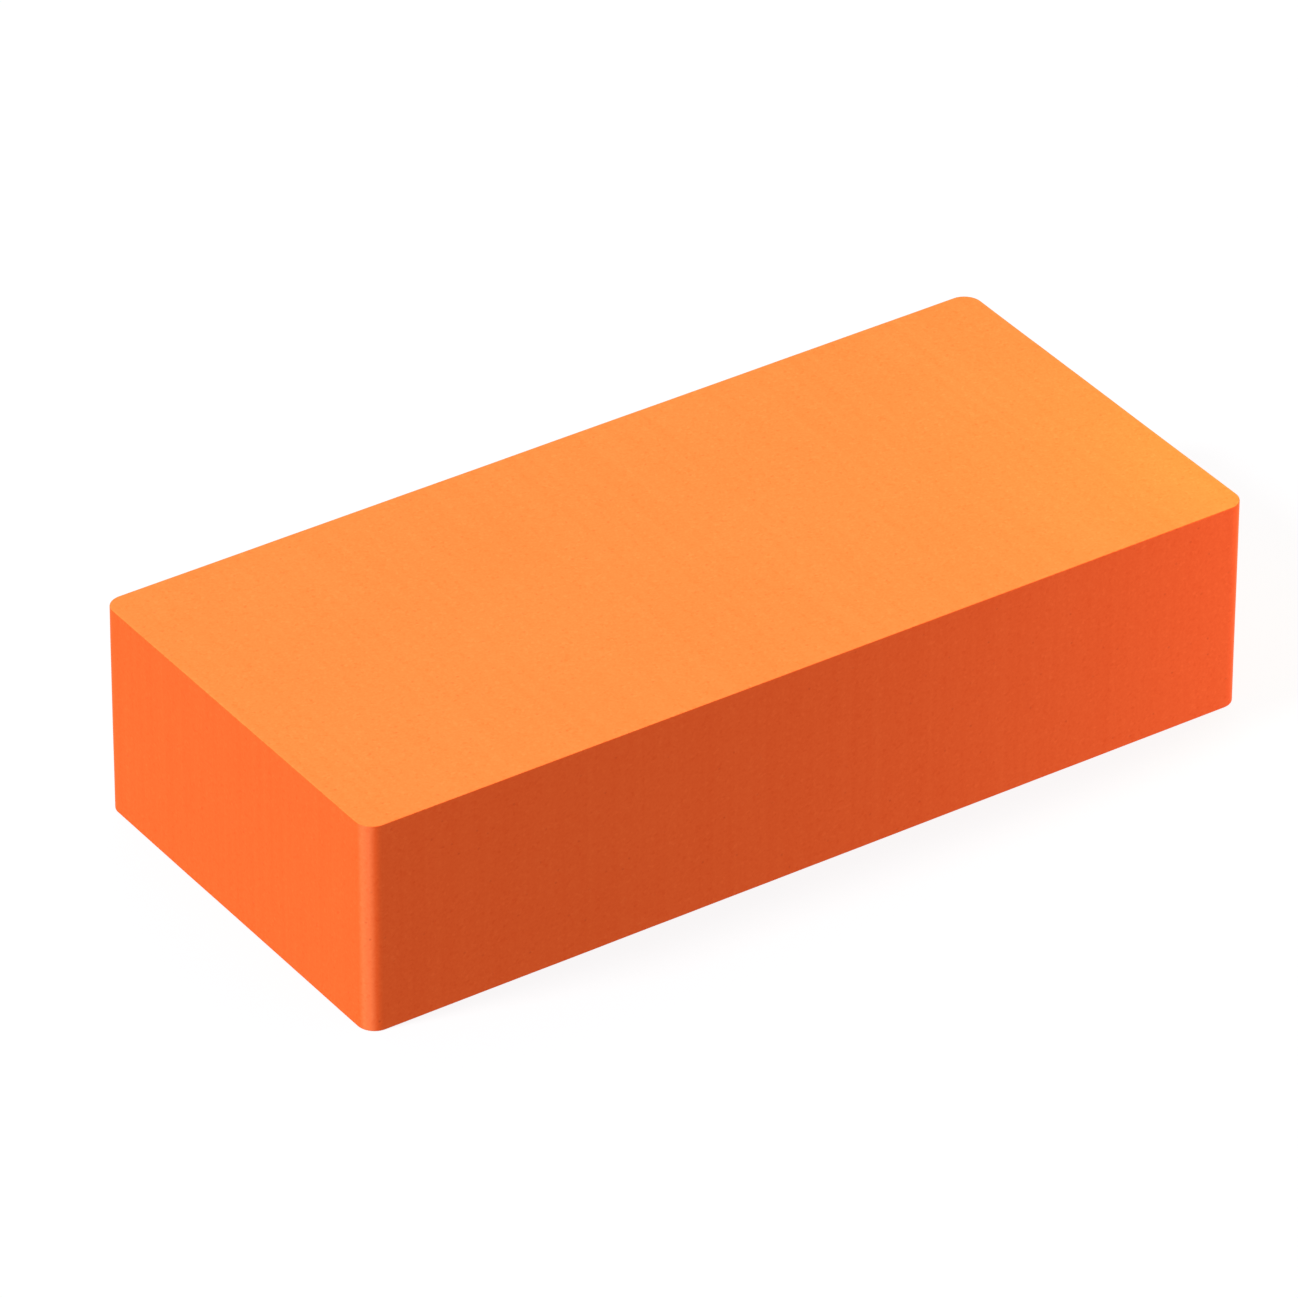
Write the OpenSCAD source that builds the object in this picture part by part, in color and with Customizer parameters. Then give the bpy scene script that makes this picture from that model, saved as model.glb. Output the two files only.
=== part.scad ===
// Solid clay brick, extruded and wire-cut.
// A column of clay leaves the die with the brick's plan as its section, rounded at its four corners.
// Wires cut the column into bricks, so the two bed faces meet the sides at nearly sharp edges.
// The brick lies on its lower bed face, with the origin at the middle of that face.

/* [Brick] */
// Length of the stretcher faces, along X
brick_length = 240; // [190:1:290]
// Width of the header faces, along Y
brick_width = 110; // [85:1:140]
// Height between the two bed faces, along Z
brick_height = 55; // [38:1:115]

/* [Edges] */
// Radius that the die gives the four upright corners
die_radius = 4.5; // [1:0.1:15]
// Radius left on the wire-cut edges round both bed faces
wire_edge_radius = 0.2; // [0.1:0.1:0.9]

/* [Hidden] */
// Distances between the centres of the die's corner radii
corner_pitch_x = brick_length - 2 * die_radius;
corner_pitch_y = brick_width - 2 * die_radius;
fired_clay = "#f97839";
$fn = 96;

// Upright section from an axis out to a side of the brick, reach away, with its wire-cut edges rounded
module side_section(reach) {
    square([reach - wire_edge_radius, brick_height]);
    translate([0, wire_edge_radius])
        square([reach, brick_height - 2 * wire_edge_radius]);
    for (z = [wire_edge_radius, brick_height - wire_edge_radius])
        translate([reach - wire_edge_radius, z])
            circle(wire_edge_radius);
}

// Straight run of clay between two opposite sides, across X, and run long in Y
module straight_run(across, run) {
    rotate([90, 0, 0])
        linear_extrude(run, center = true)
            for (side = [0, 1])
                mirror([side, 0])
                    side_section(across / 2);
}

// Quarter turn of clay that fills one upright corner
module die_corner() {
    rotate_extrude(angle = 90)
        side_section(die_radius);
}

// The whole brick, one piece of fired clay
module brick() {
    color(fired_clay)
        union() {
            straight_run(brick_length, corner_pitch_y);
            rotate([0, 0, 90])
                straight_run(brick_width, corner_pitch_x);
            for (end = [0, 1], face = [0, 1])
                mirror([end, 0, 0])
                    mirror([0, face, 0])
                        translate([corner_pitch_x / 2, corner_pitch_y / 2, 0])
                            die_corner();
        }
}

brick();
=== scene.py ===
import math

import bpy
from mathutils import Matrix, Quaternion, Vector


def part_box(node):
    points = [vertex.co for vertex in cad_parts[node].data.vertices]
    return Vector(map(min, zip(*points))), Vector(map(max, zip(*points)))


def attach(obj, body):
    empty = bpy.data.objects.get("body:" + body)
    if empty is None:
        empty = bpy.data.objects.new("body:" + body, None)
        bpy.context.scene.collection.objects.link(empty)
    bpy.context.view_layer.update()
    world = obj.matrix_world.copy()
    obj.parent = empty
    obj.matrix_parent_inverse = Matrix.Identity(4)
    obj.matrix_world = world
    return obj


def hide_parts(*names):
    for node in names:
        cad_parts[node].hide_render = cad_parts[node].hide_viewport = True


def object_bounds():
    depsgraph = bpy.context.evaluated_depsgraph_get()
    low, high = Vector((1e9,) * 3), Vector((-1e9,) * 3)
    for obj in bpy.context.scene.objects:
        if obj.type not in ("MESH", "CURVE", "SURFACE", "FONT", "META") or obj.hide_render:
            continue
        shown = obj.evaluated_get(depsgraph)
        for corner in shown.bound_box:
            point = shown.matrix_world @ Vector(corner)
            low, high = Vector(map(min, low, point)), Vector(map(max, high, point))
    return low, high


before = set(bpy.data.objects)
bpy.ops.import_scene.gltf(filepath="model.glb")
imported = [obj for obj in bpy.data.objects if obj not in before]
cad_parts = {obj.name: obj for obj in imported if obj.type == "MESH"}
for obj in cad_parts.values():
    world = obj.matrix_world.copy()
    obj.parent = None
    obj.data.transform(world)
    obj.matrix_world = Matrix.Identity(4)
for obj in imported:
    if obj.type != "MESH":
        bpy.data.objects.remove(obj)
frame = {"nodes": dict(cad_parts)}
cadLow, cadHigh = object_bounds()
bpy.ops.object.select_all(action="DESELECT")
mm = 0.001
print("frame loaded with", ", ".join(frame["nodes"]))


# Small helpers

def toLinear(hexColour):  # sRGB as written, to the linear RGBA that nodes take
    shares = [int(hexColour[i:i + 2], 16) / 255 for i in (1, 3, 5)]
    return [s / 12.92 if s <= 0.04045 else ((s + 0.055) / 1.055) ** 2.4 for s in shares] + [1.0]


def addNode(tree, kind, settings=None, inputs=None):  # an input is a value, or another node's output to link
    node = tree.nodes.new(kind)
    for name, value in (settings or {}).items():
        setattr(node, name, value)
    for name, value in (inputs or {}).items():
        if isinstance(value, bpy.types.NodeSocket):
            tree.links.new(value, node.inputs[name])
        else:
            node.inputs[name].default_value = value
    return node


def pick(piece, kind, wanted):  # selects the edges or faces that are wanted, and stays in edit mode
    bpy.ops.object.mode_set(mode="EDIT")
    bpy.ops.mesh.select_mode(type=kind)
    bpy.ops.mesh.select_all(action="DESELECT")
    bpy.ops.object.mode_set(mode="OBJECT")
    parts = {"EDGE": piece.data.edges, "FACE": piece.data.polygons}
    for part in parts[kind]:
        part.select = wanted(part)
    bpy.ops.object.mode_set(mode="EDIT")


def climb(piece, edge):  # height between the two ends of an edge
    ends = [piece.data.vertices[i].co.z for i in edge.vertices]
    return max(ends) - min(ends)


# Fired clay, extruded through a die and cut to length by wires.
# The die presses the sides into a dense skin, a deep red-orange with faint upright lines of dragged clay.
# The wire opens the beds a little, so they are paler and more matt, with faint lines the way the wire went.
# Part of the beds' paler, yellower colour is painted light from above.

dieSkin = {
    "name": "dieSkinClay",
    "deep": "#F2571E",
    "pale": "#FF6C2D",
    "paintedHighlight": "#FF7F46",          # painted highlight up the upright corners
    "pore": "#B53E17",
    "mottleSize": 38 * mm,       # slow change of colour from the kiln
    "dragWidth": 1.6 * mm,
    "dragStretch": (1, 1, 60),   # lines run up the sides, along Z
    "porePitch": 4 * mm,
    "relief": {"grain": 0.012 * mm, "drag": 0.004 * mm, "pore": -0.06 * mm},   # heights, drawn as bump
    "roughness": (0.7, 0.8),     # of pale and of deep clay
}

wireCutPaintedLight = {
    "name": "wireCutClayPaintedLight",
    # paler, yellower beds: partly the open wire-cut face, partly painted light from above
    "deep": "#F47530",
    "pale": "#FF8B43",
    # painted highlight, where the corner strip reaches the beds
    "paintedHighlight": "#FF8743",
    "pore": "#C85620",
    "mottleSize": 46 * mm,
    "dragWidth": 2.2 * mm,
    "dragStretch": (1, 60, 1),   # lines run across the bed, along Y
    "porePitch": 3 * mm,
    "relief": {"grain": 0.02 * mm, "drag": 0.006 * mm, "pore": -0.06 * mm},
    "roughness": (0.78, 0.9),
}

clay = {
    "grainSize": 0.6 * mm,       # the clay's sand is finer, and is drawn this coarse to show
    "speckSize": 0.7 * mm,       # grains that fired paler or darker than the rest, drawn coarse as well
    "speckRarity": 5,            # a higher odd number leaves fewer of them
    "poreSize": 0.5 * mm,
    "poreShade": 0.3,
    "detail": {"mottle": 2, "grain": 3, "drag": 1},   # finer layers in each noise
    "shares": {"mottle": 0.12, "grain": 0.42, "speck": 0.28, "drag": 0.18},   # of the tone, 1 in all
    "toneRange": (0.2, 0.8),     # tones that show as fully deep and fully pale
    "highlightStart": (0.1, 0.5),    # how far a corner has turned to a stretcher face, where its painted highlight starts
    "highlightEnd": (0.38, 0.68),    # how much it still looks to a header face, where the painted highlight ends
    "highlightCover": (0.45, 1.0),   # how far the painted highlight covers deep and pale clay, so that the grain still shows
    "ior": 1.5,
    "specular": 0.03,            # an open, unglazed surface shines very little
}


# Each grain has a tone of its own, and a high odd power leaves most of them near the middle
def claySpecks(tree, spot):
    grains = addNode(tree, "ShaderNodeTexVoronoi", inputs={"Vector": spot, "Scale": 1 / clay["speckSize"]})
    own = addNode(tree, "ShaderNodeSeparateColor", inputs={"Color": grains.outputs["Color"]})
    eitherWay = addNode(tree, "ShaderNodeMapRange", inputs={"Value": own.outputs["Red"], "To Min": -1.0})
    rare = addNode(tree, "ShaderNodeMath", {"operation": "POWER"}, {
        0: eitherWay.outputs["Result"], 1: clay["speckRarity"]})
    return addNode(tree, "ShaderNodeMapRange", inputs={
        "Value": rare.outputs[0], "From Min": -1.0}).outputs["Result"]


# Small pits, where a grain of sand was dragged out
def clayPores(tree, look, spot):
    pits = addNode(tree, "ShaderNodeTexVoronoi", inputs={"Vector": spot, "Scale": 1 / look["porePitch"]})
    return addNode(tree, "ShaderNodeMapRange", {"interpolation_type": "SMOOTHSTEP"}, {
        "Value": pits.outputs["Distance"], "From Max": clay["poreSize"] / look["porePitch"],
        "To Min": 1.0, "To Max": 0.0}).outputs["Result"]


def clayPatterns(tree, look, spot):
    along = addNode(tree, "ShaderNodeMapping", inputs={
        "Vector": spot, "Scale": [1 / s for s in look["dragStretch"]]}).outputs["Vector"]
    patterns = {"speck": claySpecks(tree, spot), "pore": clayPores(tree, look, spot)}
    for name, where, size in (("mottle", spot, look["mottleSize"]), ("grain", spot, clay["grainSize"]),
                              ("drag", along, look["dragWidth"])):
        patterns[name] = addNode(tree, "ShaderNodeTexNoise", inputs={
            "Vector": where, "Scale": 1 / size, "Detail": clay["detail"][name]}).outputs["Fac"]
    return patterns


# A painted highlight up each upright corner: paler colour where the surface turns away from a header face
def paintedCornerHighlight(tree, facing, paleness):
    overDeep, overPale = clay["highlightCover"]
    highlight = addNode(tree, "ShaderNodeMapRange", inputs={
        "Value": paleness, "To Min": overDeep, "To Max": overPale}).outputs["Result"]
    normal = addNode(tree, "ShaderNodeSeparateXYZ", inputs={"Vector": facing})
    for axis, limits in (("Y", "highlightStart"), ("X", "highlightEnd")):
        low, high = clay[limits]
        turned = addNode(tree, "ShaderNodeMath", {"operation": "ABSOLUTE"}, {0: normal.outputs[axis]})
        rise = addNode(tree, "ShaderNodeMapRange", {"interpolation_type": "SMOOTHSTEP"}, {
            "Value": turned.outputs[0], "From Min": low, "From Max": high})
        highlight = addNode(tree, "ShaderNodeMath", {"operation": "MULTIPLY"}, {
            0: rise.outputs["Result"], 1: highlight}).outputs[0]
    return highlight


def firedClay(look):
    material = bpy.data.materials.new(look["name"])
    material.use_nodes = True
    tree = material.node_tree
    shader = tree.nodes["Principled BSDF"]
    place = addNode(tree, "ShaderNodeTexCoord")
    patterns = clayPatterns(tree, look, place.outputs["Object"])

    # One tone from four of the patterns, each counted by its share
    tone = 0.0
    for name, share in clay["shares"].items():
        tone = addNode(tree, "ShaderNodeMath", {"operation": "MULTIPLY_ADD"}, {
            0: patterns[name], 1: share, 2: tone}).outputs[0]
    darkest, palest = clay["toneRange"]
    paleness = addNode(tree, "ShaderNodeMapRange", inputs={
        "Value": tone, "From Min": darkest, "From Max": palest}).outputs["Result"]

    # Colour from deep to pale, then the painted corner highlights, then the pores
    highlight = paintedCornerHighlight(tree, place.outputs["Normal"], paleness)
    # darker colour in the pores, where the bump sinks
    pitDarkening = addNode(tree, "ShaderNodeMath", {"operation": "MULTIPLY"}, {
        0: patterns["pore"], 1: clay["poreShade"]}).outputs[0]
    colour = toLinear(look["deep"])
    for cover, shade in ((paleness, "pale"), (highlight, "paintedHighlight"), (pitDarkening, "pore")):
        mix = addNode(tree, "ShaderNodeMix", {"data_type": "RGBA"}, {
            0: cover, 6: colour, 7: toLinear(look[shade])})  # 6 and 7 are the two colours
        colour = mix.outputs[2]  # the mixed colour
    tree.links.new(colour, shader.inputs["Base Color"])

    # Relief in metres
    height = 0.0
    for name, depth in look["relief"].items():
        height = addNode(tree, "ShaderNodeMath", {"operation": "MULTIPLY_ADD"}, {
            0: patterns[name], 1: depth, 2: height}).outputs[0]
    bump = addNode(tree, "ShaderNodeBump", inputs={"Distance": 1.0, "Height": height})
    tree.links.new(bump.outputs["Normal"], shader.inputs["Normal"])

    # Shine
    ofPale, ofDeep = look["roughness"]
    rough = addNode(tree, "ShaderNodeMapRange", inputs={
        "Value": paleness, "To Min": ofDeep, "To Max": ofPale})
    tree.links.new(rough.outputs["Result"], shader.inputs["Roughness"])
    shader.inputs["IOR"].default_value = clay["ior"]
    shader.inputs["Specular IOR Level"].default_value = clay["specular"]
    return material


# The brick

brickForm = {
    "dieRadius": 4.5 * mm,       # upright corners
    "dieSteps": 16,
    "wireRadius": 0.2 * mm,      # edges round both beds
    "wireSteps": 3,
    "cell": 2 * mm,              # width of the faces that carry the slow unevenness
    "cutCatch": 0.001 * mm,      # nearer than this a cut takes an existing point, so it stays fine
    "waveSize": 30 * mm,         # unevenness of clay that shrank as it dried and fired
    "waveDepth": 0.1 * mm,
    "bedTilt": 0.75,             # a face that looks up or down by this much belongs to a bed
}


def cutInCells(low, high):
    for axis in range(3):
        count = round((high[axis] - low[axis]) / brickForm["cell"])
        step = (high[axis] - low[axis]) / count
        normal = [0, 0, 0]
        normal[axis] = 1
        for i in range(1, count):
            spot = [0, 0, 0]
            spot[axis] = low[axis] + i * step
            bpy.ops.mesh.select_all(action="SELECT")
            bpy.ops.mesh.bisect(plane_co=spot, plane_no=normal, threshold=brickForm["cutCatch"])


def makeBrick():
    low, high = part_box("brick")
    size = high - low
    bpy.ops.mesh.primitive_cube_add(size=1, location=(low + high) / 2, scale=size)
    brick = bpy.context.active_object
    brick.name = "fired_brick"
    bpy.ops.object.transform_apply(location=True, rotation=True, scale=True)

    pick(brick, "EDGE", lambda edge: climb(brick, edge) > size.z / 2)
    bpy.ops.mesh.bevel(offset=brickForm["dieRadius"], segments=brickForm["dieSteps"], affect="EDGES")
    pick(brick, "EDGE", lambda edge: climb(brick, edge) < size.z / 2)
    bpy.ops.mesh.bevel(offset=brickForm["wireRadius"], segments=brickForm["wireSteps"], affect="EDGES")
    # Out of edit mode and back, so that every run numbers the cuts alike
    bpy.ops.object.mode_set(mode="OBJECT")
    bpy.ops.object.mode_set(mode="EDIT")
    cutInCells(low, high)
    bpy.ops.object.mode_set(mode="OBJECT")

    cloud = bpy.data.textures.new("slowWave", "CLOUDS")
    cloud.noise_scale = brickForm["waveSize"]
    wave = brick.modifiers.new("slowWave", "DISPLACE")
    wave.texture = cloud
    wave.texture_coords = "LOCAL"
    wave.strength = brickForm["waveDepth"]
    bpy.ops.object.modifier_apply(modifier=wave.name)

    bpy.ops.object.shade_smooth()
    shading = brick.modifiers.new("flatFaces", "WEIGHTED_NORMAL")
    bpy.ops.object.modifier_apply(modifier=shading.name)

    for look in (dieSkin, wireCutPaintedLight):
        brick.data.materials.append(firedClay(look))
    pick(brick, "FACE", lambda face: abs(face.normal.z) > brickForm["bedTilt"])
    brick.active_material_index = 1  # wire-cut clay with painted light from above, on both beds
    bpy.ops.object.material_slot_assign()
    bpy.ops.object.mode_set(mode="OBJECT")

    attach(brick, "root")
    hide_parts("brick")
    print("brick made,", len(brick.data.polygons), "faces")


makeBrick()


# Stage: a plain floor, white to the camera, and soft light

stage = {
    "floorSize": 14,             # m
    "floor": "#F2F2F2",
    "floorShare": 0.12,          # the rest of the floor is even white, so the shadow stays faint
    "ambient": "#EEEFFF",
    "ambientLevel": 0.69,
}

# Level is the light on a face square to the lamp, where 1 shows a colour as written
suns = {
    "keySoftbox": {"azimuth": -100, "elevation": 40, "level": 1.0, "spread": 12, "colour": "#FFFFFF"},
    "backSoftbox": {"azimuth": 135, "elevation": 20, "level": 0.35, "spread": 60, "colour": "#FFFFFF"},
}

# Small lamps that the camera doesn't see.
# The side fill is turned past the brick, so only the edge of its beam falls on the front and the right end.
# The end glow warms the right end of the upper bed.
smallLamps = {
    "sideFill": {
        "place": (300 * mm, -335 * mm, 30 * mm),
        "aim": (460 * mm, -128 * mm, 30 * mm),
        "size": 50 * mm,
        "power": 2.04,           # W
        "colour": "#D7BFFF",
    },
    "endGlow": {
        "place": (175 * mm, -50 * mm, 105 * mm),
        "aim": (90 * mm, -20 * mm, 55 * mm),
        "size": 40 * mm,
        "power": 0.0437,
        "colour": "#FFEB00",
    },
}


def wayTo(azimuth, elevation):  # direction from the brick out to a lamp or the camera
    a, e = math.radians(azimuth), math.radians(elevation)
    return Vector((math.sin(a) * math.cos(e), -math.cos(a) * math.cos(e), math.sin(e)))


def makeFloor():
    bpy.ops.mesh.primitive_plane_add(size=stage["floorSize"])
    floor = bpy.context.active_object
    floor.name = "floor"
    floor.visible_diffuse = False  # so it sends no light back to the brick
    material = bpy.data.materials.new("paleFloor")
    material.use_nodes = True
    tree = material.node_tree
    tree.nodes.remove(tree.nodes["Principled BSDF"])
    surface = addNode(tree, "ShaderNodeBsdfDiffuse", inputs={"Color": toLinear(stage["floor"])})
    white = addNode(tree, "ShaderNodeEmission", inputs={"Strength": 1.0})
    both = addNode(tree, "ShaderNodeMixShader", inputs={
        0: stage["floorShare"], 1: white.outputs[0], 2: surface.outputs[0]})
    tree.links.new(both.outputs[0], tree.nodes["Material Output"].inputs["Surface"])
    floor.data.materials.append(material)


def makeLamps():
    for name, lamp in suns.items():
        way = wayTo(lamp["azimuth"], lamp["elevation"])
        turn = way.to_track_quat("Z", "Y").to_euler()
        bpy.ops.object.light_add(type="SUN", location=way, rotation=turn)
        sun = bpy.context.active_object
        sun.name = name
        sun.data.energy = math.pi * lamp["level"]
        sun.data.angle = math.radians(lamp["spread"])
        sun.data.color = toLinear(lamp["colour"])[:3]

    for name, lamp in smallLamps.items():
        aim = Vector(lamp["aim"]) - Vector(lamp["place"])
        turn = aim.to_track_quat("-Z", "Y").to_euler()
        bpy.ops.object.light_add(type="AREA", location=lamp["place"], rotation=turn)
        fill = bpy.context.active_object
        fill.name = name
        fill.data.size = lamp["size"]
        fill.data.energy = lamp["power"]
        fill.data.color = toLinear(lamp["colour"])[:3]
        fill.visible_camera = False


def makeBackdrop():
    world = bpy.data.worlds.new("studio")
    bpy.context.scene.world = world
    world.use_nodes = True
    tree = world.node_tree
    ambient = tree.nodes["Background"]
    ambient.inputs["Color"].default_value = toLinear(stage["ambient"])
    ambient.inputs["Strength"].default_value = stage["ambientLevel"]
    white = addNode(tree, "ShaderNodeBackground", inputs={"Color": (1, 1, 1, 1), "Strength": 1.0})
    # White to the camera, and to rays that a mirror or glass sends on
    ray = addNode(tree, "ShaderNodeLightPath")
    shown = ray.outputs["Is Camera Ray"]
    for kind in ("Is Glossy Ray", "Is Transmission Ray"):
        shown = addNode(tree, "ShaderNodeMath", {"operation": "MAXIMUM"}, {
            0: shown, 1: ray.outputs[kind]}).outputs[0]
    both = addNode(tree, "ShaderNodeMixShader", inputs={
        0: shown, 1: ambient.outputs[0], 2: white.outputs[0]})
    tree.links.new(both.outputs[0], tree.nodes["World Output"].inputs["Surface"])


makeFloor()
makeLamps()
makeBackdrop()
print("floor, lamps and backdrop made")


# Camera, fitted to the brick's edges in the photograph

view = {
    "azimuth": -34.13,           # degrees
    "elevation": 33.49,
    "roll": 0.23,
    "distance": 2.532,           # m
    "lens": 307.12,              # mm
    "sensor": 36,                # mm
    "aimRight": -6.7 * mm,       # the brick sits a little right of the middle
    "aimUp": 0.82 * mm,
}


def placeCamera():
    way = wayTo(view["azimuth"], view["elevation"])
    turn = way.to_track_quat("Z", "Y") @ Quaternion((0, 0, 1), math.radians(view["roll"]))
    middle = (cadLow + cadHigh) / 2
    aside = turn @ Vector((view["aimRight"], view["aimUp"], 0))
    bpy.ops.object.camera_add(location=middle + way * view["distance"] + aside, rotation=turn.to_euler())
    camera = bpy.context.active_object
    camera.data.sensor_width = view["sensor"]
    camera.data.lens = view["lens"]
    bpy.context.scene.camera = camera


placeCamera()
bpy.context.scene.view_settings.view_transform = "Standard"
print("camera placed")
